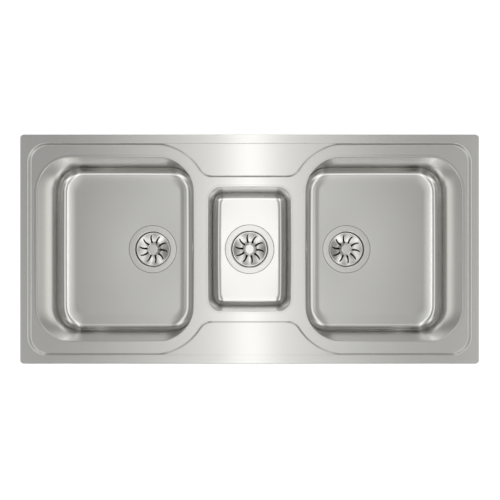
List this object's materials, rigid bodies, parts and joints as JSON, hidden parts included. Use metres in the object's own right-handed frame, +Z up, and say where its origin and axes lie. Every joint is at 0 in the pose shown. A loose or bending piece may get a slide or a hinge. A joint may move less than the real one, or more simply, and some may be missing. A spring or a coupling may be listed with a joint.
{
  "type": "inset kitchen sink",
  "caption": "Inset stainless-steel kitchen sink with main bowls either side of a half bowl, lift-out basket strainers and swing-out fixing clips under the rim.",
  "frame": {"origin": "centre of the sink on the plane of the worktop that its rim rests on", "axes": "+X along the sink to its right end, +Y to its rear edge, +Z up out of the bowls"},
  "size_m": [1, 0.5, 0.291],
  "materials": {
    "brushed_sheet": "satin grain along the sink's length",
    "polished_steel": "polished",
    "zinc_steel": "zinc plated, dull",
    "rubber": "matte",
    "foam_seal": "closed-cell foam",
    "sound_pad": "bitumen felt",
    "white_plastic": "moulded"
  },
  "bodies": {
    "sink": {"centre_bowl": "brushed_sheet", "centre_strainer_cup": "polished_steel", "centre_waste_body": "white_plastic", "centre_waste_screw": "polished_steel", "centre_waste_seal": "rubber", "deck": "brushed_sheet", "front_rail": "zinc_steel", "left_bowl": "brushed_sheet", "left_overflow_elbow": "white_plastic", "left_overflow_pipe": "white_plastic", "left_overflow_plate": "polished_steel", "left_overflow_screw": "polished_steel", "left_rail": "zinc_steel", "left_sound_pad": "sound_pad", "left_strainer_cup": "polished_steel", "left_waste_body": "white_plastic", "left_waste_screw": "polished_steel", "left_waste_seal": "rubber", "rear_rail": "zinc_steel", "right_bowl": "brushed_sheet", "right_overflow_elbow": "white_plastic", "right_overflow_pipe": "white_plastic", "right_overflow_plate": "polished_steel", "right_overflow_screw": "polished_steel", "right_rail": "zinc_steel", "right_sound_pad": "sound_pad", "right_strainer_cup": "polished_steel", "right_waste_body": "white_plastic", "right_waste_screw": "polished_steel", "right_waste_seal": "rubber", "rim_gasket": "foam_seal"},
    "centre_basket_strainer": {"centre_basket": "polished_steel", "centre_basket_knob": "polished_steel", "centre_basket_stopper": "rubber"},
    "front_clip_1": {"front_clip_1_claw": "zinc_steel", "front_clip_1_screw": "zinc_steel"},
    "front_clip_2": {"front_clip_2_claw": "zinc_steel", "front_clip_2_screw": "zinc_steel"},
    "front_clip_3": {"front_clip_3_claw": "zinc_steel", "front_clip_3_screw": "zinc_steel"},
    "left_basket_strainer": {"left_basket": "polished_steel", "left_basket_knob": "polished_steel", "left_basket_stopper": "rubber"},
    "left_clip": {"left_clip_claw": "zinc_steel", "left_clip_screw": "zinc_steel"},
    "rear_clip_1": {"rear_clip_1_claw": "zinc_steel", "rear_clip_1_screw": "zinc_steel"},
    "rear_clip_2": {"rear_clip_2_claw": "zinc_steel", "rear_clip_2_screw": "zinc_steel"},
    "rear_clip_3": {"rear_clip_3_claw": "zinc_steel", "rear_clip_3_screw": "zinc_steel"},
    "right_basket_strainer": {"right_basket": "polished_steel", "right_basket_knob": "polished_steel", "right_basket_stopper": "rubber"},
    "right_clip": {"right_clip_claw": "zinc_steel", "right_clip_screw": "zinc_steel"}
  },
  "joints": [
    {"name": "left_basket_lift", "type": "slide", "parent": "sink", "child": "left_basket_strainer", "axis": [0, 0, 1], "range_m": [0, 0.25]},
    {"name": "centre_basket_lift", "type": "slide", "parent": "sink", "child": "centre_basket_strainer", "axis": [0, 0, 1], "range_m": [0, 0.25]},
    {"name": "right_basket_lift", "type": "slide", "parent": "sink", "child": "right_basket_strainer", "axis": [0, 0, 1], "range_m": [0, 0.25]},
    {"name": "front_clip_1_swing", "type": "hinge", "parent": "sink", "child": "front_clip_1", "pos_m": [-0.33, -0.2275, -0.044], "axis": [0, 0, -1], "range_deg": [0, 90]},
    {"name": "front_clip_2_swing", "type": "hinge", "parent": "sink", "child": "front_clip_2", "pos_m": [0, -0.2275, -0.044], "axis": [0, 0, -1], "range_deg": [0, 90]},
    {"name": "front_clip_3_swing", "type": "hinge", "parent": "sink", "child": "front_clip_3", "pos_m": [0.33, -0.2275, -0.044], "axis": [0, 0, -1], "range_deg": [0, 90]},
    {"name": "right_clip_swing", "type": "hinge", "parent": "sink", "child": "right_clip", "pos_m": [0.4743, 0, -0.044], "axis": [0, 0, -1], "range_deg": [0, 90]},
    {"name": "rear_clip_1_swing", "type": "hinge", "parent": "sink", "child": "rear_clip_1", "pos_m": [0.33, 0.2275, -0.044], "axis": [0, 0, -1], "range_deg": [0, 90]},
    {"name": "rear_clip_2_swing", "type": "hinge", "parent": "sink", "child": "rear_clip_2", "pos_m": [0, 0.2275, -0.044], "axis": [0, 0, -1], "range_deg": [0, 90]},
    {"name": "rear_clip_3_swing", "type": "hinge", "parent": "sink", "child": "rear_clip_3", "pos_m": [-0.33, 0.2275, -0.044], "axis": [0, 0, -1], "range_deg": [0, 90]},
    {"name": "left_clip_swing", "type": "hinge", "parent": "sink", "child": "left_clip", "pos_m": [-0.4743, 0, -0.044], "axis": [0, 0, -1], "range_deg": [0, 90]}
  ]
}
